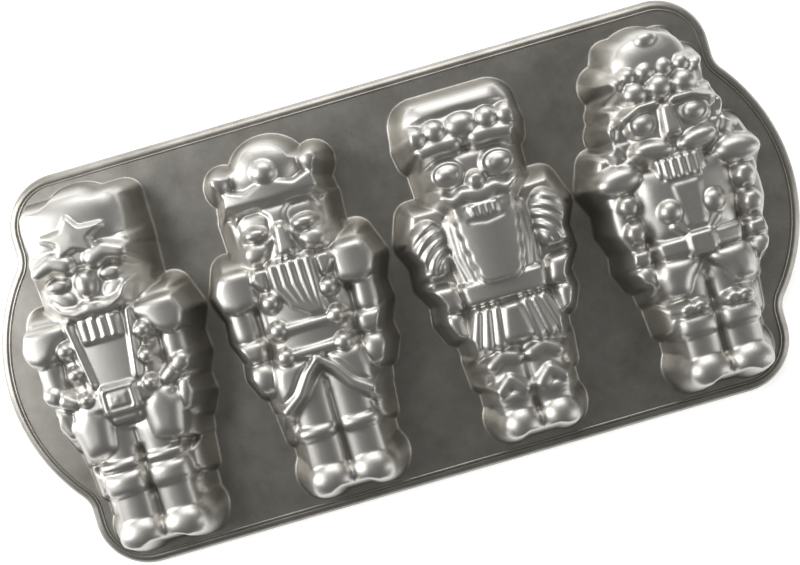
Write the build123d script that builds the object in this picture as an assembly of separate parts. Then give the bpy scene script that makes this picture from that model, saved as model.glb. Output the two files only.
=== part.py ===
from build123d import *
import math
import os

# Cast aluminium cakelet pan, lying upside down as it does when it is turned out: the
# four figure cavities stand up from the deck as hollow relief shells, and the rim's lip
# rests on the table at z = 0. X runs along the pan, Y up the figures, sizes in mm.
# The real pan is one casting with an even wall. Each node is one zone of that casting,
# and zones meet face to face.

# Pan outline: a rounded rectangle with a bowed grip at each end
pan_width = 193.0
body_length = 345.0
pan_length = 390.0
corner_radius = 25.5
grip_radius = 90.0
grip_neck_radius = 11.5

# Deck, rim and wall
wall = 3.0
deck_top = 7.0
rim_top = 6.6
rim_roll = 4.0
rim_band = 5.0
lip_thickness = 3.4
groove_width = 0.9
groove_depth = 1.0
bead_width = 1.0
bead_height = 0.4
rim_split = 152.0

# Cavity layout and casting draft
figure_pitch = 90.2
draft_angle = 10.0
edge_round = 4.2
detail_round = 1.2

# Stations along every figure, from the hat's end down to the soles
hat_end = 84.0
hat_foot = 52.0
chin_line = 24.0
shoulder_line = 36.0
sleeve_line = 3.0
cuff_line = -15.0
hand_line = -35.0
hem_line = -46.0
boot_cuff_line = -63.0
sole_line = -89.5
zone_overlap = 14.0

# Heights of the relief above the rest plane
hat_height = 31.0
head_height = 32.5
arm_height = 27.0
torso_height = 31.5
leg_height = 25.0
boot_height = 27.5
nose_height = 37.5
badge_rise = 2.0

# Half-widths of each figure's skirt where it leaves the deck:
# hat end, hat foot, head, shoulders, forearms, hands, coat, boot cuffs, boots
soldier_girths = (30.5, 30.5, 29.0, 44.0, 41.0, 38.0, 33.0, 30.0, 27.5)
king_girths = (20.0, 29.5, 29.0, 44.0, 41.0, 38.0, 31.0, 28.0, 27.0)
elder_girths = (31.5, 32.5, 26.0, 43.5, 40.5, 34.5, 28.0, 26.5, 25.0)
hussar_girths = (17.0, 29.0, 31.0, 44.8, 41.0, 38.5, 32.0, 28.5, 27.0)

lean = math.tan(math.radians(draft_angle))
deck_bottom = deck_top - wall


def pan_outline(inset):
    """Closed plan outline of the pan, moved inwards by inset."""
    half_body = body_length / 2 - inset
    half_width = pan_width / 2 - inset
    corner = corner_radius - inset
    grip = grip_radius - inset
    neck = grip_neck_radius + inset
    grip_x = pan_length / 2 - grip_radius
    neck_x = half_body + neck
    neck_y = math.sqrt((grip + neck) ** 2 - (neck_x - grip_x) ** 2)
    share = grip / (grip + neck)
    touch = (grip_x + (neck_x - grip_x) * share, neck_y * share)
    bend = math.radians((180 + math.degrees(math.atan2(neck_y, neck_x - grip_x)) + 180) / 2)
    neck_mid = (neck_x + neck * math.cos(bend), neck_y + neck * math.sin(bend))
    corner_mid = corner * math.sqrt(0.5)
    corner_x = half_body - corner
    corner_y = half_width - corner
    quarter = [
        ("arc", (corner_x, half_width), (corner_x + corner_mid, corner_y + corner_mid), (half_body, corner_y)),
        ("line", (half_body, corner_y), None, (half_body, neck_y)),
        ("arc", (half_body, neck_y), neck_mid, touch),
    ]
    right = list(quarter)
    right.append(("arc", touch, (grip_x + grip, 0), (touch[0], -touch[1])))
    right += [(kind, flip(end, 1, -1), flip(mid, 1, -1), flip(start, 1, -1)) for kind, start, mid, end in quarter[::-1]]
    left = [(kind, flip(start, -1, -1), flip(mid, -1, -1), flip(end, -1, -1)) for kind, start, mid, end in right]
    edges = []
    for kind, start, mid, end in right + left:
        edges.append(Line(start, end) if kind == "line" else ThreePointArc(start, mid, end))
    edges.append(Line((corner_x, -half_width), (-corner_x, -half_width)))
    edges.append(Line((-corner_x, half_width), (corner_x, half_width)))
    return make_face(Wire.combine(edges)[0].edges())


def flip(point, across, along):
    """The same point mirrored in the pan's two middle planes."""
    return None if point is None else (point[0] * across, point[1] * along)


def inset_corners(corners, inset):
    """Corners of a convex outline, counter-clockwise, with each side moved inwards by inset."""
    moved = []
    for before, corner, after in zip(corners[-1:] + corners[:-1], corners, corners[1:] + corners[:1]):
        ax, ay = corner[0] - before[0], corner[1] - before[1]
        bx, by = after[0] - corner[0], after[1] - corner[1]
        a_long, b_long = math.hypot(ax, ay), math.hypot(bx, by)
        ax, ay, bx, by = ax / a_long, ay / a_long, bx / b_long, by / b_long
        turn = ax * by - ay * bx
        moved.append((corner[0] + inset * (-ax + bx) / -turn * -1, corner[1] + inset * (-ay + by) / -turn * -1))
    return moved


def rounded_section(corners, radius, inset, height):
    """The outline's cross-section at a height, moved in by inset, with its corners rounded."""
    points = inset_corners(corners, inset)
    face = make_face(Polyline(*points, close=True).edges())
    return Pos(0, 0, height) * fillet(face.vertices(), radius)


def mound(corners, radius, height, rounding=edge_round, thin=0.0, foot=deck_bottom, slope=lean):
    """A drafted mound on a convex outline. thin moves its whole surface inwards, for a cavity."""
    shoulder = height - thin - rounding
    start = foot if thin == 0 else foot - wall
    waist = thin + (shoulder - foot) * slope
    levels = [
        (start, thin + (start - foot) * slope),
        (shoulder, waist),
        (shoulder + rounding * 0.7, waist + rounding * 0.3),
        (shoulder + rounding, waist + rounding),
    ]
    faces = [rounded_section(corners, max(radius - inset, 0.4), inset, z) for z, inset in levels]
    return loft(faces, ruled=True)


def slab(half_low, half_high, low, high):
    """Corners of a band across the figure, with a half-width at its low and its high end."""
    return [(-half_low, low), (half_low, low), (half_high, high), (-half_high, high)]



def pair(shape):
    """A shape and its mirror image across the figure's middle."""
    return [shape, mirror(shape, about=Plane.YZ)]


def pad(corners, height, radius=2.5, rounding=detail_round, depth=9.0):
    """A raised pad that starts inside the relief under it."""
    return mound(corners, radius, height, rounding, foot=height - depth, slope=lean / 4)


def shift(corners, across, along=0.0):
    """The same outline moved in plan."""
    return [(x + across, y + along) for x, y in corners]


def ball(across, along, centre, radius):
    """A round knob sunk into the relief."""
    return Pos(across, along, centre) * Sphere(radius)


def bar(start, end, centre, radius):
    """A round bar lying on the relief, with round ends."""
    run = (end[0] - start[0], end[1] - start[1], 0)
    length = math.hypot(run[0], run[1])
    lie = Plane(origin=(start[0], start[1], centre), z_dir=run)
    rod = lie * Cylinder(radius, length, align=(Align.CENTER, Align.CENTER, Align.MIN))
    return [rod, ball(*start, centre, radius), ball(*end, centre, radius)]


def skirt(girths, thin):
    """The drafted lobes that carry a figure up from the deck, or the cavity inside them."""
    hat_tip, hat_base, head, shoulder, sleeve, hand, coat, cuff, boot = girths
    over = zone_overlap
    lobes = [
        (slab(hat_base, hat_tip, hat_foot - over / 2, hat_end), 9.0, hat_height),
        (slab(head - 3, head, chin_line - 2, hat_foot + over / 2), 9.0, head_height - 5),
        (slab(shoulder - 2, shoulder - 3, sleeve_line - 1, shoulder_line), 11.0, arm_height),
        (slab(hand + 1, sleeve, cuff_line - over / 2, sleeve_line + over), 10.0, arm_height - 3),
        (slab(hand - 4, hand, hand_line, cuff_line + over / 2), 10.0, arm_height - 4),
        (slab(coat, coat - 2, hem_line, hand_line + over * 1.5), 9.0, arm_height - 1),
        (slab(cuff - 1, cuff - 2, boot_cuff_line, hem_line + over), 9.0, leg_height),
    ]
    shapes = [mound(corners, radius, height, thin=thin) for corners, radius, height in lobes]
    toe = slab(boot / 2 + 0.5, boot / 2 + 0.5, sole_line, boot_cuff_line + over)
    shapes += pair(mound(shift(toe, boot / 2 - 0.6), 10.0, boot_height, thin=thin))
    return shapes


def legs_and_boots(half, cuff_low, cuff_high):
    """Two trouser legs, boot cuffs and toe caps in relief."""
    middle = half / 2 + 0.4
    leg = shift(slab(half / 2 - 1.6, half / 2 - 2.2, boot_cuff_line - 6, hem_line + 12), middle)
    cuff = shift(slab(half / 2 - 0.4, half / 2 - 0.4, cuff_low, cuff_high), middle)
    return pair(pad(leg, leg_height + 2.2, 3.0, 2.0)) + pair(pad(cuff, leg_height + 4.0, 2.5, 1.8))


def soldier_relief():
    """Shako with a star, curled moustache, three-button coat, square buckle."""
    star = []
    for k in range(10):
        reach = 11.5 if k % 2 == 0 else 5.2
        turn = math.radians(90 + 36 * k)
        star.append((reach * math.cos(turn), 62.5 + reach * math.sin(turn)))
    star_face = make_face(Polyline(*star, close=True).edges())
    shapes = [Pos(0, 0, hat_height - 3) * extrude(star_face, 3 + badge_rise)]
    shapes.append(mound(slab(12, 7, 70, 88), 5.0, hat_height - 7))
    shapes.append(pad(slab(16, 18.5, 25, 50), head_height + 0.5, 4.0, 2.0))
    shapes += pair(pad(shift(slab(8.5, 8.0, 46, 54.5), 12.8), head_height + 3.2, 3.2, 1.8))
    shapes += bar((0, 36.5), (0, 42.5), nose_height - 4.6, 4.0)
    shapes += pair(pad(shift(slab(4.2, 4.2, 40, 45), 11.5), head_height + 1.8, 1.8, 0.8))
    for mirror_x in (-1, 1):
        shapes += bar((mirror_x * 3.5, 28.8), (mirror_x * 10.5, 29.5), head_height - 0.3, 3.4)
        shapes += bar((mirror_x * 10.5, 29.5), (mirror_x * 16, 33.5), head_height - 0.6, 2.4)
    shapes.append(pad(slab(8.5, 8.5, 13.5, 25.5), head_height + 1.2, 1.2, 0.8))
    shapes.append(pad(slab(10.5, 13.5, -7, 27), torso_height + 0.6, 1.2, 0.8))
    shapes += pair(pad(shift(slab(9.0, 11.5, 9.5, 25.5), 27.5), arm_height + 3.4, 3.5, 2.2))
    shapes.append(pad(slab(18, 22.5, -26, 24), torso_height - 1.6, 3.0))
    for along in (13.5, 1.0, -11.0):
        shapes += pair(ball(16.5, along, torso_height - 2.6, 3.4))
    shapes += pair(pad(shift(slab(6.0, 6.0, -12, -4), 28), arm_height + 1.0, 2.5, 2.0))
    shapes += pair(ball(28, -19, arm_height - 4.6, 5.2))
    shapes.append(pad(slab(8.2, 8.2, -21, -7.5), torso_height + 2.6, 2.2, 1.0))
    shapes += pair(pad(shift(slab(9.5, 7.0, -39, -10), 14.5), torso_height - 0.8, 3.5, 2.0))
    return shapes + legs_and_boots(22.0, -59.5, -47.0)


def king_relief():
    """Domed crown with knobs, round eyes, long moustache, frogged coat."""
    shapes = pair(mound(shift(slab(8.5, 8.5, 58, 77), 22.5), 8.0, hat_height - 2))
    shapes.append(pad(slab(26, 24, 52.5, 60), hat_height + 0.8, 3.0, 1.8))
    for across, along, radius in ((0, 64.5, 4.6), (-23.5, 65.5, 4.2), (23.5, 65.5, 4.2)):
        shapes.append(ball(across, along, hat_height - 1.6, radius))
    shapes.append(pad(slab(17, 20, 26, 53), head_height, 5.0, 2.2))
    shapes += pair(Pos(11.6, 43.5, head_height - 3) * Cylinder(7.6, 8))
    shapes += pair(ball(11.6, 39, head_height - 0.9, 4.2))
    shapes += pair(ball(12.5, 31, head_height - 2.6, 4.6))
    shapes.append(pad(slab(3.8, 2.8, 26, 41.5), nose_height - 0.6, 0.9, 0.6))
    for k in range(4):
        shapes += bar((-7.0 + 4.6 * k, 22), (-4.2 + 4.0 * k, -0.5), torso_height + 0.3, 2.5)
    shapes += pair(pad(shift(slab(9.2, 10.0, 7.5, 25.5), 26.8), arm_height + 3.6, 3.5, 2.2))
    shapes.append(pad(slab(18.5, 19.0, -27, 24), torso_height - 1.2, 3.0))
    for along in (8.5, -5.0, -17.0):
        shapes += pair(ball(13.3, along, torso_height - 1.7, 4.0))
    for along in (-5.0, -17.0):
        shapes += bar((-9, along), (9, along), torso_height - 1.9, 2.4)
    shapes += pair(pad(shift(slab(7.0, 7.0, -13, -6), 27), arm_height + 0.4, 2.5, 2.0))
    shapes += pair(ball(26.0, -24, arm_height - 4.8, 6.2))
    shapes += pair(pad([(2.5, -22), (19.5, -41.5), (21, -22)], torso_height - 0.6, 1.6, 1.0))
    shapes += pair(ball(19.0, -40.0, torso_height - 5.4, 4.6))
    return shapes + legs_and_boots(21.0, -67.0, -53.0)


def elder_relief():
    """Tall flat hat with a ball fringe, goggle eyes, full beard, puffed sleeves, pleats."""
    shapes = [pad(slab(27.0, 24.0, 55, 62), hat_height - 0.8, 3.0, 2.0)]
    for across, radius in ((-22.5, 5.0), (-11.8, 4.6), (0, 6.6), (11.8, 4.6), (22.5, 5.0)):
        shapes.append(ball(across, 61.5, hat_height - 2.2, radius))
    shapes += pair(pad(shift(slab(10.0, 8.0, 50, 58.5), 13.8), hat_height + 3.0, 3.4, 2.4))
    shapes.append(pad(slab(16, 18.0, 24, 51), head_height - 0.8, 4.0, 2.0))
    shapes += pair(pad(shift(slab(7.2, 7.2, 36, 47.0), 11.8), head_height + 1.6, 4.4, 1.0))
    shapes += pair(ball(12.3, 41, head_height - 0.2, 3.9))
    shapes.append(Pos(0, 36, nose_height - 6) * Cylinder(3.5, 9))
    shapes += pair(pad([(0.5, 25.5), (15.5, 26), (16.5, 32), (0.5, 34)], head_height + 1.2, 0.9, 0.7))
    shapes.append(pad(slab(7.0, 7.0, 20.0, 26), head_height + 1.4, 1.2, 0.6))
    shapes.append(pad(slab(9.0, 14.8, -11.5, 25.5), torso_height + 2.0, 3.0, 0.8))
    shapes += pair(pad(shift(slab(7.0, 8.6, -3.0, 25.0), 29.3), arm_height + 3.6, 5.5, 3.2))
    shapes.append(pad(slab(18.0, 19.0, -13, 24), torso_height - 1.4, 2.0))
    shapes.append(pad(slab(19.4, 18.4, -19.5, -7.0), torso_height + 0.6, 2.0, 1.0))
    shapes.append(pad(slab(21.5, 17.0, -40.5, -16), torso_height - 3.0, 3.0, 2.0))
    for k in range(7):
        lean_out = (k - 3) / 3
        start, end = (14.5 * lean_out, -23), (20.0 * lean_out, -38.5)
        shapes += bar(start, end, torso_height - 3.4, 3.4)
    shapes += pair(pad(shift(slab(5.5, 7.5, -20, -7), 26.8), arm_height + 0.2, 2.5, 2.0))
    shapes += pair(pad(shift(slab(3.4, 5.0, -34, -19), 24.8), arm_height - 0.6, 2.4, 2.0))
    return shapes + legs_and_boots(19.5, -62.5, -46.0)


def hussar_relief():
    """Domed cap with a bead fringe, ruff collar, square teeth, winged shoulders, gems."""
    shapes = [mound(slab(14.0, 11.0, 66, 87.5), 9.0, hat_height - 4)]
    for across in (-11.2, 0, 11.2):
        shapes.append(ball(across, 52.5, hat_height + 0.2, 5.0))
        shapes.append(ball(across * 0.9, 59.0, hat_height - 1.4, 4.0))
    shapes += pair(ball(19.0, 60.0, hat_height - 4.0, 4.2))
    shapes.append(pad(slab(27.5, 24.0, 24, 47), head_height - 4.2, 8.0, 1.2))
    shapes.append(pad(slab(15.5, 18.5, 24, 49), head_height, 5.0, 2.0))
    shapes += pair(pad(shift(slab(9.5, 8.0, 42.5, 46.5), 12.0), head_height + 2.6, 1.4, 0.8))
    shapes += pair(ball(11.8, 39.0, head_height - 0.4, 4.6))
    shapes.append(pad(slab(4.2, 2.2, 29.5, 45), nose_height - 0.4, 0.9, 0.6))
    shapes += pair(pad(shift(slab(7.0, 7.6, 23.0, 29.5), 8.8), head_height + 2.0, 2.8, 1.2))
    shapes.append(pad(slab(7.8, 9.8, 10.5, 23.5), head_height + 2.4, 2.4, 1.0))
    for mirror_x in (-1, 1):
        shapes += bar((mirror_x * 22, 16.8), (mirror_x * 35, 17.4), arm_height - 1.8, 5.4)
    shapes.append(pad(slab(18.0, 20.5, -15, 21), torso_height, 5.0, 2.2))
    shapes += pair(ball(10.8, -1.5, torso_height - 2.0, 4.6))
    shapes.append(pad(slab(6.6, 4.6, -12.5, 11), torso_height + 1.6, 2.0, 1.0))
    for along in (5.0, -8.0):
        gem = extrude(RegularPolygon(5.0, 6), 8, taper=18)
        shapes += pair(Pos(26.0, along, arm_height - 5.2) * Rot(0, 0, 30) * gem)
    shapes.append(pad(slab(19.2, 19.2, -24, -13.5), torso_height + 0.4, 1.6, 0.8))
    shapes.append(pad(slab(6.6, 6.6, -24.8, -13), torso_height + 2.0, 2.0, 1.0))
    shapes += pair(pad(shift(slab(5.5, 5.5, -22, -16), 27.0), arm_height - 0.4, 2.0, 1.6))
    shapes += pair(ball(27.5, -27.5, arm_height - 4.6, 5.0))
    shapes += pair(pad([(3.0, -25), (6.5, -43.5), (21.5, -42), (19.5, -25)], torso_height - 1.0, 2.0, 1.4))
    shapes += pair(ball(10.5, -47.0, leg_height + 1.4, 3.2))
    return shapes + legs_and_boots(21.5, -61.5, -50.0)


figures = {
    "soldier": (-1.5, soldier_girths, soldier_relief),
    "king": (-0.5, king_girths, king_relief),
    "elder": (0.5, elder_girths, elder_relief),
    "hussar": (1.5, hussar_girths, hussar_relief),
}
zones = {
    "hat": (hat_foot, pan_width),
    "head": (chin_line + 1.0, hat_foot),
    "coat": (hem_line + 4.0, chin_line + 1.0),
    "legs": (-pan_width, hem_line + 4.0),
}


def fused(shapes):
    """One solid from many that overlap, joined two by two."""
    while len(shapes) > 1:
        spare = shapes[-1:] if len(shapes) % 2 else []
        shapes = [one.fuse(other) for one, other in zip(shapes[::2], shapes[1::2])] + spare
    return shapes[0]


def build():
    os.makedirs("parts", exist_ok=True)
    plan = pan_outline(rim_band)
    deck = Pos(0, 0, deck_bottom) * extrude(plan, wall)
    bead_outer = Pos(0, 0, deck_top) * extrude(plan, bead_height)
    bead_inner = Pos(0, 0, deck_top) * extrude(pan_outline(rim_band + bead_width), bead_height)
    deck = deck.fuse(bead_outer - bead_inner)
    keep_below = Pos(0, 0, deck_bottom) * Box(
        pan_length, pan_width, 60, align=(Align.CENTER, Align.CENTER, Align.MIN)
    )
    for name, (slot, girths, relief) in figures.items():
        place = Pos(slot * figure_pitch, 0, 0)
        outer = skirt(girths, 0) + relief()
        footing = fused([shape for shape in outer if shape.bounding_box().min.Z < deck_top])
        body = fused(outer)
        deck = deck - place * footing
        shell = (body - fused(skirt(girths, wall))) & keep_below
        for zone, (low, high) in zones.items():
            region = Pos(0, (low + high) / 2, 30) * Box(pan_width, high - low, 100)
            piece = place * (shell & region)
            print(name, zone, "solids", len(piece.solids()), "volume", round(piece.volume))
            export_step(piece, f"parts/{name}_{zone}.step")
    print("deck_plate", "solids", len(deck.solids()), "volume", round(deck.volume))
    export_step(deck, "parts/deck_plate.step")

    rim = extrude(pan_outline(0), rim_top)
    rim = fillet(rim.edges().group_by(Axis.Z)[-1], rim_roll)
    rim = rim - extrude(plan, deck_top)
    rim = rim - extrude(pan_outline(lip_thickness), deck_bottom)
    groove = extrude(pan_outline(rim_band - groove_width), groove_depth)
    rim = rim - Pos(0, 0, rim_top - groove_depth) * groove
    spans = {
        "left_grip_rim": (-pan_length, -rim_split),
        "right_grip_rim": (rim_split, pan_length),
    }
    for name, (low, high) in spans.items():
        region = Pos((low + high) / 2, 0, 0) * Box(high - low, pan_length, 40)
        export_step((rim & region).solids()[0], f"parts/{name}.step")
    sides = rim & Box(2 * rim_split, pan_length, 40)
    front, back = sorted(sides.solids(), key=lambda s: s.center().Y)
    export_step(front, "parts/front_rim.step")
    export_step(back, "parts/back_rim.step")


build()
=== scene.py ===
import math
import bpy
import numpy as np
from mathutils import Matrix, Vector
from mathutils.geometry import delaunay_2d_cdt


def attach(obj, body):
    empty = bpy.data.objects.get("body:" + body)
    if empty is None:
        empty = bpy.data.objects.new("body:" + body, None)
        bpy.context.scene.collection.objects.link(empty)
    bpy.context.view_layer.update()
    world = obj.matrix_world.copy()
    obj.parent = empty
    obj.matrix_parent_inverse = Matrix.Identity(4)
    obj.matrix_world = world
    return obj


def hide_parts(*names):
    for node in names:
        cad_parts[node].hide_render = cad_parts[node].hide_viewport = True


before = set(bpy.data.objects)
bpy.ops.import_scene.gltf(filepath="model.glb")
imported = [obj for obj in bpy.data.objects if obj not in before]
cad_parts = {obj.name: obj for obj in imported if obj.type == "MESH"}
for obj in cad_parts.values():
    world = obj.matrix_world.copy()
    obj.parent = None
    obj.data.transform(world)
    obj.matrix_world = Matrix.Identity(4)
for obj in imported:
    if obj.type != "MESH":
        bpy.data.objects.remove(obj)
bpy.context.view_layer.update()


# The pan is one aluminium casting with a grey satin skin, drawn as blasted. Its upper forms,
# from 15 to 29 mm up, carry a painted sheen: they are coloured lighter to stand in for the
# light that the high, rounded metal catches. The grain is 0.55 mm across, too fine to show
# from the camera, over slow clouds of 14 mm.
def colour(code):
    """Linear values of a colour written as sRGB hex."""
    values = [int(code[i:i + 2], 16) / 255 for i in (1, 3, 5)]
    linear = [v / 12.92 if v <= 0.04045 else ((v + 0.055) / 1.055) ** 2.4 for v in values]
    return (*linear, 1.0)


def add(material, kind, **values):
    """A node with its inputs set by name, and its other settings by attribute."""
    node = material.node_tree.nodes.new(kind)
    for key, value in values.items():
        if key in node.inputs:
            node.inputs[key].default_value = value
        else:
            setattr(node, key, value)
    return node


def cast_aluminium(name, light, dark, high, roughness):
    """Blasted cast aluminium: grain, a slow unevenness, and a painted sheen, a lighter colour on high
    places.
    """
    material = bpy.data.materials.new(name)
    material.use_nodes = True
    tree = material.node_tree
    shader = tree.nodes["Principled BSDF"]
    shader.inputs["Metallic"].default_value = 1.0
    place = add(material, "ShaderNodeTexCoord")
    grain = add(material, "ShaderNodeTexNoise", Scale=1000 / 0.55, Detail=3.0, Roughness=0.6)
    cloud = add(material, "ShaderNodeTexNoise", Scale=1000 / 14.0, Detail=4.0, Roughness=0.55)
    for noise in (grain, cloud):
        tree.links.new(place.outputs["Object"], noise.inputs["Vector"])
    speckle = add(material, "ShaderNodeMath", operation="MULTIPLY_ADD")
    speckle.inputs[1].default_value = 0.45
    tree.links.new(grain.outputs["Fac"], speckle.inputs[0])
    tree.links.new(cloud.outputs["Fac"], speckle.inputs[2])
    tone = add(material, "ShaderNodeValToRGB")
    tone.color_ramp.elements[0].position = 0.5
    tone.color_ramp.elements[0].color = colour(dark)
    tone.color_ramp.elements[1].position = 1.0
    tone.color_ramp.elements[1].color = colour(light)
    tree.links.new(speckle.outputs[0], tone.inputs["Fac"])
    level = add(material, "ShaderNodeSeparateXYZ")
    tree.links.new(place.outputs["Object"], level.inputs["Vector"])
    # Painted sheen: from 15 to 29 mm up the colour is blended towards the high colour, light painted onto
    # the raised forms.
    raised = add(material, "ShaderNodeMapRange", interpolation_type="SMOOTHSTEP")
    raised.inputs["From Min"].default_value = 0.015
    raised.inputs["From Max"].default_value = 0.029
    tree.links.new(level.outputs["Z"], raised.inputs["Value"])
    painted_sheen_mix = add(material, "ShaderNodeMix", data_type="RGBA")
    painted_sheen_mix.inputs[7].default_value = colour(high)
    tree.links.new(raised.outputs["Result"], painted_sheen_mix.inputs[0])
    tree.links.new(tone.outputs["Color"], painted_sheen_mix.inputs[6])
    tree.links.new(painted_sheen_mix.outputs[2], shader.inputs["Base Color"])
    gloss = add(material, "ShaderNodeMapRange")
    gloss.inputs["From Min"].default_value = 0.3
    gloss.inputs["From Max"].default_value = 0.7
    gloss.inputs["To Min"].default_value = roughness - 0.04
    gloss.inputs["To Max"].default_value = roughness + 0.06
    tree.links.new(grain.outputs["Fac"], gloss.inputs["Value"])
    tree.links.new(gloss.outputs["Result"], shader.inputs["Roughness"])
    bump = add(material, "ShaderNodeBump", Strength=0.35, Distance=0.00012)
    tree.links.new(grain.outputs["Fac"], bump.inputs["Height"])
    tree.links.new(bump.outputs["Normal"], shader.inputs["Normal"])
    return material


# The third colour is the painted sheen of the high forms, not a colour of the metal itself.
blasted_with_painted_sheen = cast_aluminium("blasted_aluminium_painted_sheen", "#bfbcb6", "#9f9c95", "#cfcdc8", 0.42)


# The rim is the casting's edge, 4 mm round over the top and solid down to the 3.4 mm lip
# that it stands on. It follows the bowed grips at both ends. Inside it a fine groove and
# a 1 mm bead frame the deck.
def outline(inset, step=1.0):
    """Points round the pan's edge, anticlockwise from the right grip's middle, in mm."""
    body, width, corner, grip, neck, middle = 172.5, 96.5, 25.5, 90.0, 11.5, 105.0
    neck_x = body + neck
    neck_y = math.sqrt((grip + neck) ** 2 - (neck_x - middle) ** 2)
    turn = math.atan2(neck_y, neck_x - middle)
    quarter = []
    for t in np.linspace(0, turn, int(grip * turn / step)):
        quarter.append((middle + (grip - inset) * math.cos(t), (grip - inset) * math.sin(t)))
    for t in np.linspace(turn + math.pi, math.pi, 14)[1:]:
        quarter.append((neck_x + (neck + inset) * math.cos(t), neck_y + (neck + inset) * math.sin(t)))
    for t in np.linspace(0, math.pi / 2, 40):
        quarter.append((body - corner + (corner - inset) * math.cos(t),
                        width - corner + (corner - inset) * math.sin(t)))
    for x in np.linspace(body - corner, 0, 30)[1:]:
        quarter.append((x, width - inset))
    quarter = np.array(quarter)
    left = quarter[::-1][1:] * (-1, 1)
    upper = np.vstack([quarter, left])
    return np.vstack([upper, upper[::-1][1:-1] * (1, -1)])


def piece(name, points, faces, material, *nodes):
    """A mesh from points in mm, smooth, riding on the pan in place of its CAD nodes."""
    mesh = bpy.data.meshes.new(name)
    mesh.from_pydata([tuple(p) for p in np.asarray(points) / 1000.0], [], faces)
    mesh.shade_smooth()
    mesh.materials.append(material)
    thing = bpy.data.objects.new(name, mesh)
    bpy.context.scene.collection.objects.link(thing)
    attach(thing, "root")
    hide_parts(*nodes)
    return thing


def level_loop(inset, z):
    """The pan's outline at an inset and a height."""
    loop = outline(inset)
    return np.column_stack([loop, np.full(len(loop), z)])


roll = 4.0
lip = 3.4
groove = 5.9
rim_section = [(groove, 4.0), (groove, 6.0), (5.5, 5.7), (5.0, 5.7), (4.6, 6.1), (4.2, 6.6)]
for degrees in range(80, -1, -10):
    angle = math.radians(degrees)
    rim_section.append((roll - roll * math.cos(angle), 2.6 + roll * math.sin(angle)))
rim_section += [(0.0, 0.4), (0.3, 0.0), (lip - 0.3, 0.0), (lip, 0.3), (lip, 4.0)]
rings = np.array([level_loop(inset, z) for inset, z in rim_section])
stations = rings.shape[1]
side_half_length = 152.0
rim_pieces = {"left_grip_rim": [], "right_grip_rim": [], "back_rim": [], "front_rim": []}
for k in range(stations):
    x, y = (rings[0, k] + rings[0, (k + 1) % stations])[:2] / 2
    end = "left_grip_rim" if x < 0 else "right_grip_rim"
    side = "back_rim" if y > 0 else "front_rim"
    rim_pieces[side if abs(x) < side_half_length else end].append(k)
for name, run in rim_pieces.items():
    gaps = [i for i in range(1, len(run)) if run[i] != run[i - 1] + 1]
    if gaps:
        run = run[gaps[0]:] + run[:gaps[0]]
    columns = run + [(run[-1] + 1) % stations]
    points = rings[:, columns].transpose(1, 0, 2).reshape(-1, 3)
    across = len(rim_section)
    faces = []
    for i in range(len(columns) - 1):
        for j in range(across):
            a, b = i * across + j, i * across + (j + 1) % across
            faces.append((a, b, b + across, a + across))
    piece(name.replace("rim", "rolled_edge"), points, faces, blasted_with_painted_sheen, name)


# Each figure is a hollow relief, about 3 mm thick, that stands up to 31 mm from the deck
# on walls that lean 15 to 20 degrees. It is drawn on a half-millimetre grid: forms are
# raised one on another, then creased.
pitch = 90.2
cells = 90
step = pitch / 2 / cells
grid_x, grid_y = np.meshgrid(np.linspace(-cells, cells, 2 * cells + 1) * step,
                             np.linspace(-cells * 2, cells * 2, 4 * cells + 1) * step)
deck_top = 7.0


def smooth_min(a, b, soft):
    """The lower of two surfaces, with their meeting rounded off."""
    mix = np.maximum(soft - np.abs(a - b), 0) / soft
    return np.minimum(a, b) - mix * mix * soft / 4


def soften(field, passes):
    """The field worn smooth, by about half a millimetre for two passes."""
    for _ in range(passes):
        for axis in (0, 1):
            field = (np.roll(field, 1, axis) + 2 * field + np.roll(field, -1, axis)) / 4
    return field


def both(points):
    """A closed outline from its right half, given from the bottom to the top."""
    return list(points) + [(-x, y) for x, y in reversed(points)]


def shape(points, grow=0.0, one_side=False, x=grid_x, y=grid_y):
    """Distance in mm from a closed outline grown by a rounding; negative inside."""
    u = np.abs(x) if one_side else x
    best = np.full(u.shape, 1e9)
    inside = np.zeros(u.shape, bool)
    for (ax, ay), (bx, by) in zip(points, points[1:] + points[:1]):
        ex, ey, wx, wy = bx - ax, by - ay, u - ax, y - ay
        t = np.clip((wx * ex + wy * ey) / (ex * ex + ey * ey), 0, 1)
        best = np.minimum(best, np.hypot(wx - ex * t, wy - ey * t))
        if ay != by:
            inside ^= ((ay > y) != (by > y)) & (u < (bx - ax) * (y - ay) / (by - ay) + ax)
    return np.where(inside, -best, best) - grow


def oval(cx, cy, rx, ry, turn=0.0, one_side=True):
    """Distance from an oval; one_side draws it on both sides of the figure's middle."""
    u = (np.abs(grid_x) if one_side else grid_x) - cx
    v = grid_y - cy
    c, s = math.cos(math.radians(turn)), math.sin(math.radians(turn))
    p, q = u * c + v * s, v * c - u * s
    k0 = np.hypot(p / rx, q / ry)
    k1 = np.hypot(p / rx ** 2, q / ry ** 2)
    return k0 * (k0 - 1) / np.maximum(k1, 1e-6)


def stroke(points, thick, thin=None, one_side=True):
    """Distance from a round-ended band along some points, tapering from thick to thin."""
    thin = thick if thin is None else thin
    u = np.abs(grid_x) if one_side else grid_x
    best = np.full(u.shape, 1e9)
    legs = len(points) - 1
    for i, ((ax, ay), (bx, by)) in enumerate(zip(points, points[1:])):
        ex, ey, wx, wy = bx - ax, by - ay, u - ax, grid_y - ay
        t = np.clip((wx * ex + wy * ey) / (ex * ex + ey * ey), 0, 1)
        radius = thick + (thin - thick) * (i + t) / legs
        best = np.minimum(best, np.hypot(wx - ex * t, wy - ey * t) - radius)
    return best


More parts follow.
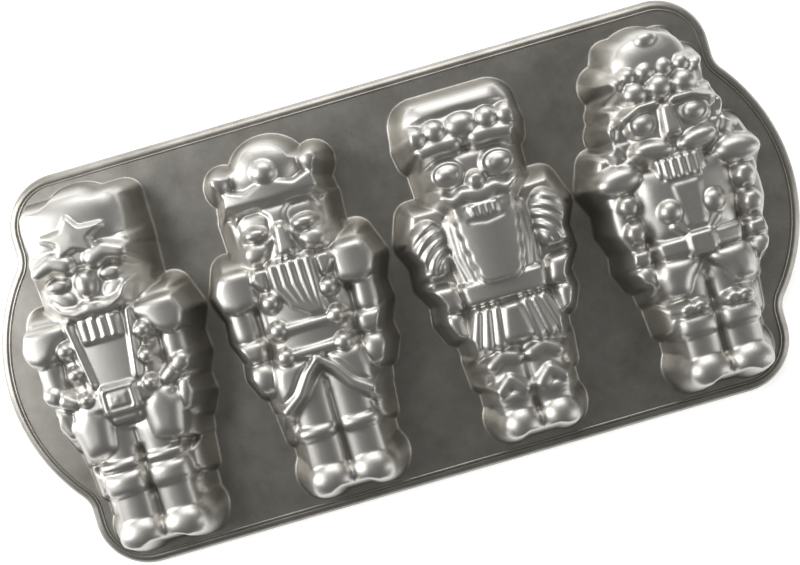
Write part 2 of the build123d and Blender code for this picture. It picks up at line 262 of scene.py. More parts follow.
class Relief:
    """The height of a figure above the rest plane, in mm, over its grid."""

    def __init__(self):
        self.height = np.full(grid_x.shape, deck_top)
        self.reach = np.full(grid_x.shape, 1e9)

    def lobe(self, distance, top, soft=7.0, slope=2.9):
        """A drafted mound that rises from the deck."""
        rise = smooth_min(top, deck_top - distance * slope, soft)
        self.height = -smooth_min(-self.height, -rise, 1.4)
        self.reach = np.minimum(self.reach, distance)

    def form(self, distance, top, rise=2.0, width=1.6, slope=2.4, fillet=0.7):
        """A detail that stands rise over its outline and rounds off over width, melted in."""
        distance = soften(distance, min(int(width * 2), 14))
        over = np.clip(1 + distance / width, 0, 1)
        added = top - rise * (1 - np.sqrt(1 - over * over)) - np.maximum(distance, 0) * slope
        blend = -smooth_min(-self.height, -added, fillet)
        self.height = np.where(added > deck_top + 2, blend, self.height)

    def crease(self, distance, depth, width=1.0):
        """A groove along a line: distance is measured from the line."""
        self.height = self.height - depth * np.exp(-(np.maximum(distance, 0) / width) ** 2)


def crown(top, sag, half, cx=0.0):
    """A top that falls away to both sides like a barrel."""
    return top - sag * ((np.abs(grid_x) - cx) / half) ** 2


def skirt(r, hat, head, shoulder, sleeve, hand, coat, cuff, boot):
    """The drafted lobes that carry every figure: hat, head, arms, coat, legs and boots."""
    low, high, top, turn = hat
    r.lobe(shape(both([(low - turn, 47 + turn), (high - turn, top - turn)]), turn), crown(31, 4, 28))
    r.lobe(shape(both([(head - 5, 24), (head - 4, 50)]), 5), crown(29, 4, 26))
    r.lobe(shape(both([(sleeve - 8, 9), (shoulder - 8, 17), (shoulder - 12, 28)]), 8), crown(28, 3, 38))
    r.lobe(shape(both([(hand - 6, -12), (sleeve - 6, -4), (sleeve - 7, 6)]), 6), crown(26.5, 3, 38))
    r.lobe(shape(both([(hand - 9, -30), (hand - 6, -23), (hand - 7, -16)]), 6), crown(25.5, 3, 36))
    r.lobe(shape(both([(coat - 7, -40), (coat - 5, -24)]), 5), crown(27, 3, 32))
    r.lobe(shape(both([(cuff - 6, -56), (cuff - 5, -44)]), 5), crown(25.5, 3, 28))
    r.lobe(shape(both([(cuff - 9, -66), (cuff - 9, -60)]), 5), crown(23.5, 3, 28))
    ball = boot / 2
    r.lobe(shape([(ball, -76), (ball, -74), (ball + 0.5, -75)], ball - 0.5, True), 26, 14)
    r.lobe(shape(both([(8, -81.6), (8, -62)]), 5), 23.5, 6)


def trousers(r, middle, tube, cuff, shaft, gap, low, high):
    """Two legs in relief: trouser tubes, puffed boot tops, shafts and round toe caps."""
    r.form(stroke([(middle - 1.6, gap), (middle - 1.0, high - 2)], tube), 29.2, 4.2, tube, 3, 1.4)
    r.form(stroke([(middle - 0.6, low + 2), (middle - 0.4, -70)], shaft), 28.6, 4.2, shaft, 3, 1.4)
    inner, outer = middle - cuff + 3.2, middle + cuff - 3.2
    puff = [(inner, low + 2.9), (outer, low + 2.9), (outer - 0.2, high - 2.9), (inner, high - 2.9)]
    r.form(shape(puff, 2.7, True), crown(31.2, 2.8, cuff, middle), 3.2, 4.4, 3, 1.0)
    r.form(oval(middle - 0.2, -77.2, cuff + 0.8, 9.6), 32.2, 8.4, 10.0, 3, 0.8)
    r.crease(stroke([(0, gap), (0, -87)], 0.1), 1.3, 1.0)


def soldier():
    """Shako with a star, heavy brows, curled moustache, lapels, square buckle."""
    r = Relief()
    skirt(r, (30.4, 30.4, 84, 8), 29, 44, 41, 38, 33.5, 30.5, 28)
    r.lobe(oval(0, 79, 15, 9), 26, 10)
    r.lobe(shape(both([(23.6, 51), (24.2, 57)]), 6), crown(32, 4, 28))
    r.form(shape(both([(13, 63), (13.5, 70)]), 11), crown(34.8, 3.4, 24), 6, 12, 3, 1.8)
    r.form(shape(both([(18, 51), (20.5, 54.5)]), 3.8), crown(34.6, 4, 24), 2.8, 3.8, 2.2, 1.0)
    star = []
    for k in range(10):
        reach = 1.0 if k % 2 == 0 else 0.47
        angle = math.radians(36 * k)
        star.append((14.6 * reach * math.sin(angle), 61.0 + 9.6 * reach * math.cos(angle)))
    r.form(shape(star, 0.9), 37.5 - 0.06 * np.hypot(grid_x, grid_y - 61), 2.2, 1.7, 1.8, 0.4)
    r.form(shape(both([(15, 28), (17.5, 46)]), 3), crown(33.4, 3.4, 21), 4, 5, 2.8)
    r.form(oval(12.2, 42, 5.3, 3.2), 35.6, 2.2, 2.6, 2.0, 0.4)
    r.form(oval(12.4, 34.6, 5.8, 4.6, 20), 34.6, 2.0, 4.4, 1.6, 1.8)
    r.form(stroke([(6.4, 50.2), (12.2, 52.6), (19.2, 49.8)], 4.5, 3.6), 37.6, 3.6, 4.2, 2.2, 0.5)
    r.form(oval(0, 39.6, 4.8, 6.6), 38.4, 4.4, 5.2, 2.4, 1.0)
    curl = [(0.8, 29.0), (7.5, 27.8), (13.5, 30.4), (17.6, 35.6)]
    r.form(stroke(curl, 3.6, 1.2), 37.0, 2.8, 3.0, 2.2, 0.4)
    r.crease(stroke([(3.0, 29.8), (8.5, 29.2), (13.5, 31.8)], 0.1), 0.5, 0.6)
    r.form(oval(0, 25.8, 2.6, 2.4), 36.2, 2.4, 2.4, 2.2, 0.4)
    r.form(shape(both([(15.5, -20), (19.5, 4), (18, 22)]), 3.5), crown(32.6, 3.0, 22), 4.5, 7, 2.6, 1.0)
    r.form(shape(both([(8.0, 14.6), (8.4, 23.6)]), 1.4), crown(35.6, 1.0, 9), 2.8, 1.8, 2.8)
    for x in (0.0, 4.5):
        r.crease(stroke([(x, 23.4), (x, 15.4)], 0.1), 1.2, 0.7)
    r.form(stroke([(14.2, 24), (10.2, -5)], 1.5), 34.2, 1.6, 1.4, 1.8, 0.5)
    r.crease(stroke([(17.4, 24), (13.4, -5)], 0.1), 0.8, 0.7)
    pad = [(17.0, 22.2), (22.5, 18.8), (26.2, 13.6), (30.6, 11.8), (34.4, 13.6), (35.2, 18.6), (33.2, 22.4)]
    r.form(shape(pad, 3.6, True), crown(33.8, 2.2, 12, 27), 3.8, 4.6, 3.4, 0.4)
    for x, y, size in ((18.0, 13.2, 3.8), (16.6, 1.6, 3.6), (15.0, -10.6, 3.3)):
        r.form(oval(x, y, size, size), 36.0, 3.4, size, 2.2, 0.3)
    r.form(stroke([(29, 7), (28.5, -3)], 5.8), 30.2, 4.6, 5.8, 2.8, 0.9)
    r.form(stroke([(30.5, -5.0), (21.5, -11.0)], 4.6, 3.6), 32.4, 3.8, 4.2, 2.6, 0.6)
    r.crease(stroke([(25.2, -3.6), (29.6, -12)], 0.2), 0.9, 0.8)
    r.form(stroke([(29.0, -16.0), (26.5, -24)], 4.8, 3.6), 30.4, 4.2, 4.4, 2.6, 0.6)
    r.form(oval(20.6, -16.6, 3.6, 3.4), 31.8, 3.2, 3.6, 2.4, 0.6)
    r.form(shape(both([(18, -16.5), (18, -10.5)]), 1.4), crown(34.0, 2.4, 20), 2.4, 2.0, 2.4)
    thigh = [(11.0, -20), (12.4, -33), (20.0, -34.4), (22.8, -22), (17, -16)]
    r.form(shape(thigh, 4.0, True), crown(33.6, 1.2, 10, 15), 4.8, 7.0, 2.8, 0.7)
    r.form(shape(both([(5.6, -23.6), (5.8, -19)]), 1.8), 32.6, 3.0, 2.6, 2.6)
    r.form(shape(both([(6.4, -18.6), (6.4, -8.8)]), 1.8), 36.6, 2.8, 2.2, 2.8)
    r.crease(np.abs(shape(both([(4.6, -17.0), (4.6, -10.6)]), 0.6)), 0.9, 0.8)
    r.form(oval(-0.6, -13.8, 2.2, 2.0, one_side=False), 37.0, 1.4, 2.0, 1.8, 0.4)
    trousers(r, 10.6, 7.6, 10.2, 8.2, -30, -58, -47)
    r.form(stroke([(4.0, -43.6), (17.8, -43.6)], 2.4), crown(30.9, 2.0, 9, 10.8), 2.4, 2.4, 2.6, 0.7)
    return r


def king():
    """Domed crown with knobs, round eyes, long moustache and beard, frogged coat."""
    r = Relief()
    skirt(r, (28.6, 27.6, 67, 7), 28.4, 43.5, 40.5, 37.5, 31.5, 28.5, 27.5)
    r.lobe(oval(0, 68.5, 19.0, 16.8), 31, 10)
    r.lobe(oval(22.0, 66.6, 9.6, 10.2), 29.5, 8)
    r.form(oval(0, 68.0, 17.5, 13.5), crown(35.4, 2.2, 18), 7, 13, 2.8, 1.6)
    r.form(oval(21.8, 66.4, 6.4, 6.6), 35.0, 5.4, 6.2, 2.6, 0.8)
    r.form(oval(0, 65.4, 6.0, 5.8), 38.6, 4.6, 5.8, 2.4, 0.5)
    half_rim = [(0, 53.8), (23, 54.8), (23.6, 58.4), (20.0, 60.4), (11.5, 57.2), (4, 60.0), (0, 60.6)]
    other_half = [(-x, y) for x, y in half_rim[-2:0:-1]]
    r.form(shape(half_rim + other_half, 1.8), crown(36.0, 4.4, 27), 2.8, 2.8, 2.4, 0.6)
    r.form(shape(both([(17, 52.5), (19, 53.5)]), 2.4), crown(34.6, 4, 24), 3.0, 3.0, 2.4)
    r.form(shape(both([(12, 28), (16.5, 36), (16.5, 48)]), 3.5), crown(33.8, 3.4, 21), 4.4, 6.5, 2.6, 1.0)
    socket = shape([(7.4, 41), (15.4, 41), (15.8, 44.6), (13.4, 46.4), (9.0, 46.4), (7.0, 44.6)], 3.0, True)
    r.crease(socket, 1.5, 1.0)
    r.crease(np.abs(socket), 0.6, 0.8)
    r.form(oval(11.2, 39.4, 5.4, 3.3), 36.4, 3.2, 3.4, 2.2, 0.3)
    r.crease(stroke([(6.4, 36.6), (11.2, 35.6), (16.2, 36.8)], 0.1), 0.6, 0.7)
    ridge = 38.0 - 0.14 * np.abs(grid_y - 30)
    r.form(shape(both([(3.0, 27.6), (1.7, 41.5)]), 1.1), ridge, 4.2, 2.4, 3.2, 0.6)
    r.form(oval(13.2, 31.2, 5.6, 4.8), 35.0, 2.4, 4.8, 1.7, 1.6)
    r.crease(stroke([(4.6, 33), (8.2, 28.4), (14.5, 25.4)], 0.3), 1.2, 1.4)
    r.form(shape(both([(15.5, -18), (17.5, -4), (17, 20)]), 3.5), crown(33.2, 3.6, 20), 4, 7, 3.0, 0.7)
    r.form(shape([(13.5, 16), (17.5, 19.5), (16.5, 22.5), (13, 22.5)], 1.8, True), 34.4, 1.8, 1.8, 2.2)
    pad = [(21.6, 13.4), (28, 11.8), (32.6, 13.6), (33.4, 18.4), (31.2, 21.6), (21.4, 21.6)]
    r.form(shape(pad, 4.8, True), crown(33.6, 2.0, 10, 27.5), 3.6, 4.6, 3.4, 0.4)
    for y in (8.3, -4.6, -17):
        r.form(oval(13.4, y, 4.3, 4.3), 36.6, 3.8, 4.3, 2.4, 0.3)
    for y in (-5.2, -17):
        r.form(stroke([(-9.5, y), (9.5, y)], 2.3, one_side=False), 35.0, 2.2, 2.3, 2.2, 0.3)
    r.crease(stroke([(18.4, 19), (18.4, -18)], 0.2), 0.8, 0.8)
    for k in range(5):
        x = -8.2 + 4.1 * k
        path = [(x, 23.4), (x + 0.1, 14), (x * 0.72 + 2.2, 5.5), (x * 0.3 + 6.4, -0.5)]
        r.form(stroke(path, 2.5, 1.7, one_side=False), 37.0 - 0.05 * (23 - grid_y), 2.8, 2.3, 2.4, 0.2)
    r.form(stroke([(29, 7), (28.6, -3)], 5.8), 30.4, 4.6, 5.8, 2.8, 0.9)
    cuff = [(24.8, -9.6), (31.8, -9.8), (31.2, -12.8), (25.4, -13.0)]
    r.form(shape(cuff, 3.4, True), 31.8, 3.4, 4.0, 2.6, 0.6)
    r.form(oval(26.4, -24.0, 7.2, 7.8), 31.6, 5.4, 7.4, 2.6, 0.6)
    trousers(r, 10.2, 8.4, 9.9, 8.4, -32, -57.5, -50.5)
    tail = [(2.2, -21.5), (9, -27.6), (15, -35.0), (20.0, -38.4), (21.0, -30), (19.2, -21.0)]
    r.form(shape(tail, 1.8, True), crown(34.4, 2.2, 12, 12), 4.4, 4.8, 2.6, 0.6)
    swag = [(0.4, -20.8), (5.8, -26.0), (12.0, -35.0), (20.4, -41.2)]
    r.form(stroke(swag, 1.9, 2.5), 35.0, 2.4, 2.2, 2.2, 0.4)
    r.crease(stroke([(3.4, -20.8), (9.8, -26.0), (15.6, -34.0), (21.5, -37.4)], 0.1), 0.9, 0.8)
    return r


def elder():
    """Tall round hat with a ball fringe, goggle eyes, full beard, puffed sleeves, pleats."""
    r = Relief()
    skirt(r, (31.6, 30.6, 82, 13), 26.5, 43.5, 40, 35.5, 28.5, 27, 25)
    r.lobe(shape(both([(24, 54), (25, 60)]), 7), crown(32, 4, 28))
    r.form(shape(both([(17, 67), (15.5, 69)]), 9), crown(34.8, 3.6, 28), 7, 12, 3, 1.8)
    r.form(shape(both([(20, 57), (22, 62)]), 4.5), crown(34.2, 4, 27), 4, 5, 2.8, 1.0)
    r.crease(stroke([(0, 67.6), (20, 66.6), (26, 64)], 0.3), 1.3, 1.2)
    for x, y, size in ((21.2, 60.8, 5.3), (12.0, 61.6, 5.3), (0, 61.4, 7.4)):
        r.form(oval(x, y, size, min(size, 6.0)), 37.6, 4.6, size * 0.9, 2.4, 0.4)
    r.form(stroke([(5.6, 54.6), (12, 55.0), (20.2, 53.8)], 4.2, 3.9), 36.2, 4.0, 4.2, 2.4, 0.5)
    r.form(shape(both([(13, 28), (15.5, 36), (15.5, 47)]), 3.5), crown(33.0, 3, 20), 4.0, 5, 2.6)
    r.form(oval(11.4, 41.6, 8.2, 6.4), 35.6, 3.0, 3.0, 2.6, 0.4)
    r.crease(np.abs(oval(11.6, 41.6, 5.6, 4.2)), 1.3, 0.8)
    r.form(oval(12.2, 41.4, 4.4, 3.1), 36.4, 2.2, 3.0, 2.0, 0.4)
    r.form(shape(both([(5.5, 17), (12.0, 21), (13.0, 26)]), 1.6), 35.4, 2.8, 2.0, 2.6)
    whisker = [(1.5, 29.4), (7.5, 31.2), (12.5, 28.6), (16.8, 32.0)]
    r.form(stroke(whisker, 4.0, 1.8), 37.2, 3.2, 3.2, 2.2, 0.4)
    r.form(oval(0, 36, 4.2, 4.0), 38.4, 3.6, 2.4, 3.0, 0.3)
    r.form(shape(both([(15.0, -12), (17.5, 5), (16.5, 21)]), 3.5), crown(32.4, 2.6, 20), 5, 6, 2.6, 1.0)
    r.crease(stroke([(17.4, 23), (17.4, 4), (15.0, -7)], 0.2), 1.0, 0.9)
    beard = []
    for k in range(25):
        rise = k / 24
        beard.append((5.6 + 8.2 * rise ** 0.4 + 0.9 * abs(math.sin(math.pi * k / 5)), -10.0 + 34.0 * rise))
    r.form(shape(both(beard), 0.6), crown(36.6, 2.2, 14), 3.0, 1.8, 3.4, 0.3)
    r.form(shape(both([(5.0, 20.6), (6.0, 24.6)]), 1.2), 37.4, 1.8, 1.4, 2.6, 0.4)
    for x in (0.0, 3.0):
        r.crease(stroke([(x, 24.6), (x, 20.4)], 0.1), 0.8, 0.5)
    r.crease(stroke([(-7.5, 18.4), (0, 17.2), (7.5, 18.4)], 0.2, one_side=False), 0.7, 0.8)
    sleeve = [(25.4, 3.0), (30.5, 3.0), (32.6, 9.5), (31.0, 17), (27, 19.6), (24.2, 17)]
    r.form(shape(sleeve, 5.0, True), crown(33.2, 2.2, 10, 28.5), 5.6, 8.0, 2.8, 0.6)
    for k in range(4):
        reach = 9.5 + 4.4 * k
        sweep = []
        for degrees in range(14, 79, 8):
            angle = math.radians(degrees)
            sweep.append((18.2 + reach * math.cos(angle), -1.5 + reach * math.sin(angle)))
        r.crease(stroke(sweep, 0.1), 1.3, 1.0)
    r.form(shape(both([(17.2, -17.0), (18.0, -9.8)]), 1.8), crown(33.8, 2.2, 20), 2.8, 2.4, 2.6)
    r.form(shape(both([(20.0, -37.6), (16.8, -22)]), 2.4), crown(31.8, 2.6, 22), 5, 4, 2.6)
    for k in (-3, -2, -1, 1, 2, 3):
        spread = (0.17 + 0.28 * abs(k)) * math.copysign(1, k)
        pleat = [(15.2 * spread, -22.0), (20.2 * spread, -38.4 + 0.8 * abs(spread))]
        r.form(stroke(pleat, 2.0, 2.9, one_side=False), crown(33.8, 2.4, 22), 2.4, 2.6, 2.2, 0.3)
    front = shape(both([(6.0, -36.8), (3.0, -23.0)]), 1.8)
    r.form(front, 34.6 - 0.02 * grid_x ** 2, 2.4, 3.0, 2.4, 0.4)
    cuff = [(24.4, -9.6), (30.2, -9.2), (31.0, -15.8), (23.2, -16.2)]
    r.form(shape(cuff, 3.2, True), 31.8, 3.8, 4.6, 2.6, 0.6)
    r.form(stroke([(26.2, -23), (25.2, -31)], 4.6, 3.6), 30.8, 4.4, 4.4, 2.6, 0.6)
    trousers(r, 9.4, 8.8, 8.8, 7.8, -44, -66.5, -60)
    r.form(stroke([(4.4, -60.5), (9.4, -55.0), (15.4, -60.0)], 3.4, 2.8), 31.6, 3.0, 3.2, 2.2, 1.0)
    r.form(stroke([(4.0, -46.0), (9.6, -44.0), (15.4, -47.5)], 3.8, 3.4), 31.2, 3.4, 3.8, 2.4, 1.0)
    return r


def hussar():
    """Domed cap with a bead fringe, fanned collar, square teeth, winged shoulders, gems."""
    r = Relief()
    skirt(r, (28, 20, 83, 7), 29, 44.6, 41, 38, 32, 28.5, 27)
    r.lobe(oval(0, 74.0, 15, 11.5), 28.5, 12)
    r.lobe(oval(20.5, 63, 9.0, 10), 26, 10)
    r.lobe(oval(0, 40, 33.0, 17), 24.5, 8)
    r.form(oval(0, 66, 18, 13.5), crown(34.2, 2.4, 18), 6, 13, 2.8, 1.6)
    r.form(oval(0, 75.0, 5.6, 4.6), 34.8, 4.2, 5.0, 2.6, 0.6)
    for x, y, size in ((18.6, 58.6, 3.9), (12.4, 61.0, 4.1), (4.4, 61.2, 4.3)):
        r.form(oval(x, y, size, size), 35.8, 3.4, size, 2.6, 0.4)
    for x, y in ((0, 53.2), (11.4, 52.8)):
        r.form(oval(x, y, 5.9, 5.5), 37.6, 4.6, 5.8, 2.6, 0.4)
    collar = [(16, 22), (24, 24), (27.5, 35), (23.5, 46), (16, 47)]
    r.form(shape(collar, 3.6, True), 30.2, 3.6, 4.6, 2.8, 0.9)
    arc = []
    for degrees in range(-56, 65, 12):
        angle = math.radians(degrees)
        arc.append((24.8 * math.cos(angle), 35.0 + 15.0 * math.sin(angle)))
    r.crease(stroke(arc, 0.1), 0.9, 0.9)
    for degrees in (-34, -4, 26):
        angle = math.radians(degrees)
        ray = [(r0 * math.cos(angle), 35.0 + 0.6 * r0 * math.sin(angle)) for r0 in (19, 31)]
        r.crease(stroke(ray, 0.1), 0.9, 0.9)
    r.form(shape(both([(11.5, 23), (16.5, 30), (16.5, 44.5)]), 3.5), crown(33.6, 3.0, 21), 4.4, 5.5, 2.8)
    r.form(stroke([(4.0, 46.4), (12, 46.4), (20.4, 42.8)], 1.8, 1.4), 36.8, 2.2, 1.7, 2.4, 0.4)
    r.form(oval(12.0, 38.6, 6.9, 5.7), 35.4, 2.6, 2.6, 2.6, 0.4)
    r.crease(np.abs(oval(12.0, 38.8, 4.6, 3.8)), 1.1, 0.8)
    r.form(oval(12.0, 38.8, 3.4, 2.8), 36.0, 1.8, 2.8, 2.0, 0.4)
    ridge = 38.2 - 0.12 * np.abs(grid_y - 33)
    r.form(shape(both([(3.4, 31.0), (1.9, 45)]), 1.1), ridge, 4.2, 2.2, 3.0, 0.6)
    r.form(oval(10.2, 26.6, 9.4, 4.6, 8), 37.0, 3.8, 4.6, 2.4, 0.5)
    r.form(shape(both([(16, -12), (19.5, 3), (18, 15)]), 4.0), crown(34.2, 4.2, 22), 4.5, 9, 3.0, 0.7)
    jaw = both([(7.4, 12.4), (9.6, 15.0), (9.8, 20.6)])
    r.form(shape(jaw, 1.6), crown(36.0, 1.2, 11), 3.2, 2.2, 2.8, 0.4)
    for x in (1.9, 5.6, 9.0):
        r.crease(stroke([(x, 21.4), (x, 12.6)], 0.1), 1.2, 0.7)
    r.form(oval(27.6, 17.4, 11.4, 6.4, -5), crown(34.0, 1.6, 12, 28), 5.0, 6.4, 2.8, 0.6)
    r.form(shape(both([(3.6, -10), (5.4, 8.5)]), 1.6), 35.0, 2.0, 2.6, 2.4)
    r.form(oval(10.0, -2.0, 5.4, 5.4), 36.8, 4.2, 5.4, 2.4, 0.4)
    r.form(stroke([(9.6, -9.0), (6.0, -12.6)], 2.6, 2.2), 34.6, 2.2, 2.4, 2.2, 0.5)
    r.form(stroke([(29.0, 9), (28.8, -12)], 6.4), 30.0, 4.6, 6.4, 2.8, 0.9)
    for y in (5.2, -7.2):
        gem = []
        for k in range(6):
            angle = math.radians(60 * k)
            gem.append((27.2 + 3.8 * math.cos(angle), y + 4.4 * math.sin(angle)))
        facet = 34.4 - 0.12 * np.hypot(np.abs(grid_x) - 27.2, grid_y - y)
        r.form(shape(gem, 1.2, True), facet, 3.4, 2.8, 2.6, 0.4)
    r.form(shape(both([(17.6, -21.0), (18.4, -16.0)]), 1.8), crown(34.4, 2.2, 20), 2.8, 2.4, 2.6)
    r.form(shape(both([(4.4, -21.8), (4.4, -15.4)]), 2.2), 36.0, 2.4, 2.4, 2.8, 0.4)
    cuff = [(24.8, -17.8), (30.4, -17.6), (30.6, -20.0), (25.0, -20.2)]
    r.form(shape(cuff, 2.6, True), 31.4, 3.4, 3.0, 2.6, 0.5)
    r.form(oval(27.0, -28.8, 5.8, 7.0), 30.8, 4.8, 5.8, 2.6, 0.6)
    trousers(r, 10.2, 7.6, 10.0, 8.2, -34, -60.5, -50)
    tail = [(4.8, -26.8), (9.8, -31.8), (12.8, -37.6), (18.8, -37.4), (20.2, -30), (18.2, -26.0)]
    r.form(shape(tail, 3.2, True), crown(34.6, 2.0, 12, 12), 4.8, 6.0, 2.8, 0.6)
    for x, turn in ((7.4, 18), (13.6, -18)):
        r.form(oval(x, -46.6, 4.1, 3.1, turn), 32.8, 2.6, 3.0, 2.4, 0.4)
    r.form(oval(10.5, -46.8, 2.0, 2.2), 33.4, 1.8, 2.0, 2.2, 0.4)
    return r


def inner_face(height, wall=3.0):
    """The cavity's surface: the relief with a ball of the wall's thickness rolled under it."""
    reach = int(wall / step)
    low = height - wall
    for i in range(-reach, reach + 1):
        for j in range(-reach, reach + 1):
            away = math.hypot(i, j) * step
            if 0 < away < wall:
                moved = np.roll(np.roll(height, i, 0), j, 1) - math.sqrt(wall ** 2 - away ** 2)
                low = np.minimum(low, moved)
    return low


def foot_distance(reach):
    """Distance in mm inwards from the foot of the walls, spread from cell to cell."""
    foot = np.where(reach > -1.2, np.maximum(-reach, 0), 99.0)
    for _ in range(18):
        for i, j in ((0, 1), (0, -1), (1, 0), (-1, 0), (1, 1), (1, -1), (-1, 1), (-1, -1)):
            foot = np.minimum(foot, np.roll(foot, (i, j), (0, 1)) + step * math.hypot(i, j))
    return foot


def grid_faces(number, cells, stride, turned):
    """Four-cornered faces over the chosen cells of a grid of point numbers."""
    low = np.argwhere(cells) * stride
    a = number[low[:, 0], low[:, 1]]
    b = number[low[:, 0], low[:, 1] + stride]
    c = number[low[:, 0] + stride, low[:, 1] + stride]
    d = number[low[:, 0] + stride, low[:, 1]]
    return np.column_stack([d, c, b, a] if turned else [a, b, c, d]).tolist()


def outer_sides(cells):
    """The sides of the chosen coarse cells that face outwards, as pairs of grid points."""
    sides = []
    for i, j in np.argwhere(cells):
        around = (((i - 1, j), (0, 0), (0, 2)), ((i, j + 1), (0, 2), (2, 2)),
                  ((i + 1, j), (2, 2), (2, 0)), ((i, j - 1), (2, 0), (0, 0)))
        for (ni, nj), (p, q), (s, t) in around:
            if 0 <= ni < cells.shape[0] and 0 <= nj < cells.shape[1] and cells[ni, nj]:
                continue
            sides.append(((2 * i + p, 2 * j + q), (2 * i + s, 2 * j + t)))
    return sides


rim_edge = [tuple(p) for p in outline(groove + 0.5)[::5]]
margin = 2.2
steepest_wall = 3.6
wall_beside_rim = 3


def shell(name, relief, slot, material):
    """The figure as a closed shell. The cavity side is drawn at a coarser grid."""
    east = grid_x + slot * pitch
    room = -shape(rim_edge, x=east)
    rise = np.minimum(foot_distance(relief.reach) * steepest_wall, room * wall_beside_rim)
    height = np.maximum(soften(np.minimum(relief.height, deck_top + rise), 2), deck_top)
    height[relief.reach > 1.5] = deck_top
    height[:, 0] = height[:, -1] = height[0] = height[-1] = deck_top
    under = inner_face(height)

    near = relief.reach < margin
    free = room > 0
    coarse = near[:-1:2, :-1:2] | near[2::2, :-1:2] | near[:-1:2, 2::2] | near[2::2, 2::2]
    coarse &= free[:-1:2, :-1:2] & free[2::2, :-1:2] & free[:-1:2, 2::2] & free[2::2, 2::2]
    fine = np.repeat(np.repeat(coarse, 2, 0), 2, 1)
    rows, columns = height.shape
    used = np.zeros(height.shape, bool)
    for i, j in ((0, 0), (1, 0), (0, 1), (1, 1)):
        used[i:rows - 1 + i, j:columns - 1 + j] |= fine
    even = np.zeros(height.shape, bool)
    even[::2, ::2] = used[::2, ::2]

    number = -np.ones(height.shape, int)
    number[used] = np.arange(used.sum())
    faces = grid_faces(number, fine, 1, False)
    number[even] = used.sum() + np.arange(even.sum())
    faces += grid_faces(number, coarse, 2, True)
    points = [np.column_stack([east[used], grid_y[used], height[used]]),
              np.column_stack([east[even], grid_y[even], under[even]])]
    edge = outer_sides(coarse)
    wall = []
    for start, end in edge:
        middle = ((start[0] + end[0]) // 2, (start[1] + end[1]) // 2)
        corner = used.sum() + even.sum() + len(wall)
        faces.append(range(corner, corner + 5))
        corners = ((start, under), (end, under), (end, height), (middle, height), (start, height))
        for spot, level in corners:
            wall.append((east[spot], grid_y[spot], level[spot]))
    points.append(np.array(wall))
    nodes = [f"{name}_{zone}" for zone in ("hat", "head", "coat", "legs")]
    whole = [tuple(int(v) for v in face) for face in faces]
    piece(f"{name}_relief", np.vstack(points), whole, material, *nodes)
    return coarse, edge


figures = {"soldier": (soldier, -1.5), "king": (king, -0.5), "elder": (elder, 0.5), "hussar": (hussar, 1.5)}
covered = {}
for name, (draw, slot) in figures.items():
    covered[name] = shell(name, draw(), slot, blasted_with_painted_sheen)


# The deck is the flat 3 mm web between the figures. Its top is 7 mm above the surface
# that the lip rests on. It is bare but for a 1 mm bead just inside the rim.
edge_loop = outline(groove)
flat_points = [tuple(p) for p in edge_loop]
flat_edges = [(i, (i + 1) % len(edge_loop)) for i in range(len(edge_loop))]
known = {}
for name, (_, slot) in figures.items():
    for pair in covered[name][1]:
        ends = []
        for i, j in pair:
            key = (round(grid_x[i, j] + slot * pitch, 3), round(grid_y[i, j], 3))
            if key not in known:
                known[key] = len(flat_points)
                flat_points.append(key)
            ends.append(known[key])
        flat_edges.append(tuple(ends))
spots, _, triangles, *_ = delaunay_2d_cdt([Vector(p) for p in flat_points], flat_edges, [], 1, 1e-4)
spots = np.array(spots)
deck_faces = []
for a, b, c in triangles:
    x, y = (spots[a] + spots[b] + spots[c]) / 3
    column = math.floor((x + 2 * pitch) / pitch)
    if 0 <= column < 4:
        name, (_, slot) = list(figures.items())[column]
        i = int((y / step + 2 * cells) // 2)
        j = int(((x - slot * pitch) / step + cells) // 2)
        mask = covered[name][0]
        if 0 <= i < mask.shape[0] and 0 <= j < mask.shape[1] and mask[i, j]:
            continue
    deck_faces.append((a, b, c))
deck_thickness = 3.0
count = len(spots)
deck_points = np.vstack([np.column_stack([spots, np.full(count, deck_top)]),
                         np.column_stack([spots, np.full(count, deck_top - deck_thickness)])])
deck_faces += [(c + count, b + count, a + count) for a, b, c in deck_faces]
bead_section = [(groove, 7.0), (5.75, 7.3), (5.4, 7.4), (5.05, 7.3), (4.9, 7.0), (4.9, 4.0), (groove, 4.0)]
ring = len(edge_loop)
start = len(deck_points)
bead = np.vstack([level_loop(inset, z) for inset, z in bead_section])
for j in range(len(bead_section)):
    row = start + j * ring
    next_row = start + (j + 1) % len(bead_section) * ring
    for k in range(ring):
        a, b = row + k, row + (k + 1) % ring
        c, d = next_row + (k + 1) % ring, next_row + k
        deck_faces.append((d, c, b, a))
piece("deck", np.vstack([deck_points, bead]), deck_faces, blasted_with_painted_sheen, "deck_plate")


# A broad soft light stands low on the left and a smaller one behind, with a dim fill on
# the right and a grey surround, so that flat metal stays grey and round metal catches white.
def light(name, place, aim, size, watts):
    """A soft square lamp that looks at a point."""
    data = bpy.data.lights.new(name, "AREA")
    data.shape = "RECTANGLE"
    data.size, data.size_y = size
    data.energy = watts
    lamp = bpy.data.objects.new(name, data)
    lamp.location = place
    lamp.rotation_euler = (Vector(aim) - Vector(place)).to_track_quat("-Z", "Y").to_euler()
    bpy.context.scene.collection.objects.link(lamp)


light("left_softbox", (-0.85, 0.25, 0.45), (0, 0, 0), (0.6, 0.9), 8.5)
light("back_softbox", (0.1, 0.85, 0.5), (0, 0, 0), (1.0, 0.5), 5.5)
light("right_fill", (0.9, -0.35, 0.4), (0, 0, 0), (0.4, 0.7), 1.6)

world = bpy.data.worlds.new("studio_surround")
bpy.context.scene.world = world
world.use_nodes = True
surround = world.node_tree.nodes["Background"]
surround.inputs["Color"].default_value = colour("#8c8b88")
surround.inputs["Strength"].default_value = 0.5


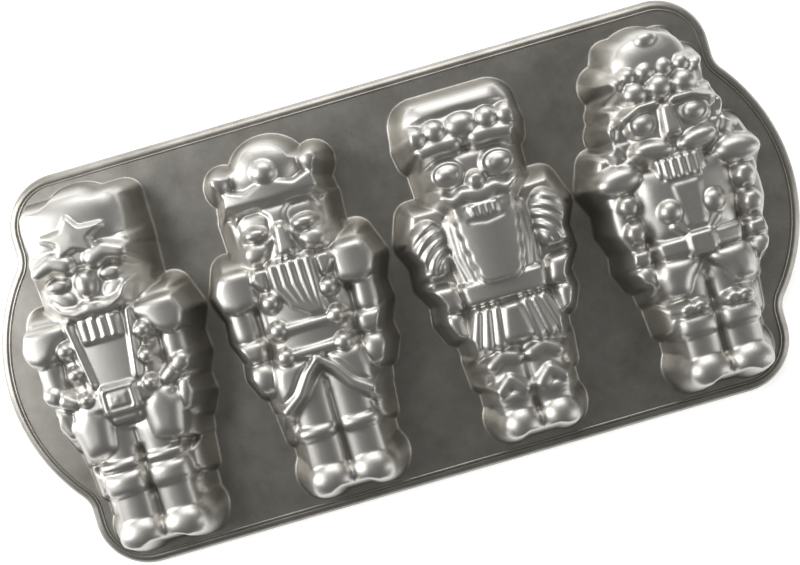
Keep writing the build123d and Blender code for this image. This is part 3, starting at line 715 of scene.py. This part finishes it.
# The floor is white studio paper. It shows white to the camera and in the metal, keeps
# the pan's soft shadow, and is clear from below so that the cavities can be seen.
paper = bpy.data.materials.new("white_paper")
paper.use_nodes = True
sheet = paper.node_tree.nodes["Principled BSDF"]
sheet.inputs["Base Color"].default_value = colour("#f4f4f3")
sheet.inputs["Roughness"].default_value = 0.9
glow = add(paper, "ShaderNodeEmission", Color=colour("#ffffff"), Strength=0.7)
lit = add(paper, "ShaderNodeAddShader")
rays = add(paper, "ShaderNodeLightPath")
blend = add(paper, "ShaderNodeMixShader")
mirrored = add(paper, "ShaderNodeMath", operation="MAXIMUM")
seen = add(paper, "ShaderNodeMath", operation="MAXIMUM")
facing = add(paper, "ShaderNodeNewGeometry")
clear = add(paper, "ShaderNodeBsdfTransparent")
one_sided = add(paper, "ShaderNodeMixShader")
join = paper.node_tree.links.new
join(rays.outputs["Is Glossy Ray"], mirrored.inputs[0])
join(rays.outputs["Is Transmission Ray"], mirrored.inputs[1])
join(rays.outputs["Is Camera Ray"], seen.inputs[0])
join(mirrored.outputs[0], seen.inputs[1])
join(seen.outputs[0], blend.inputs["Fac"])
join(sheet.outputs["BSDF"], blend.inputs[1])
join(glow.outputs["Emission"], lit.inputs[0])
join(sheet.outputs["BSDF"], lit.inputs[1])
join(lit.outputs[0], blend.inputs[2])
join(facing.outputs["Backfacing"], one_sided.inputs["Fac"])
join(blend.outputs["Shader"], one_sided.inputs[1])
join(clear.outputs["BSDF"], one_sided.inputs[2])
join(one_sided.outputs["Shader"], paper.node_tree.nodes["Material Output"].inputs["Surface"])

floor_mesh = bpy.data.meshes.new("studio_floor")
floor_mesh.from_pydata([(-4, -4, 0), (4, -4, 0), (4, 4, 0), (-4, 4, 0)], [], [(0, 1, 2, 3)])
floor_mesh.materials.append(paper)
floor = bpy.data.objects.new("studio_floor", floor_mesh)
floor.location.z = -0.0005
bpy.context.scene.collection.objects.link(floor)


# The camera looks almost straight down from about half a metre, turned 16 degrees.
turn = Matrix.Rotation(math.radians(1.545), 3, "X") @ Matrix.Rotation(math.radians(0.198), 3, "Y")
turn = turn @ Matrix.Rotation(math.radians(16.15), 3, "Z")
shift = Vector((0.3, -0.3, -474.3)) * (96.5 / 95) / 1000
lens = bpy.data.cameras.new("camera")
lens.sensor_width = 36.0
lens.lens = 45.0
camera = bpy.data.objects.new("camera", lens)
camera.matrix_world = Matrix.Translation(-(turn.transposed() @ shift)) @ turn.transposed().to_4x4()
bpy.context.scene.collection.objects.link(camera)
bpy.context.scene.camera = camera
bpy.context.scene.view_settings.view_transform = "Standard"
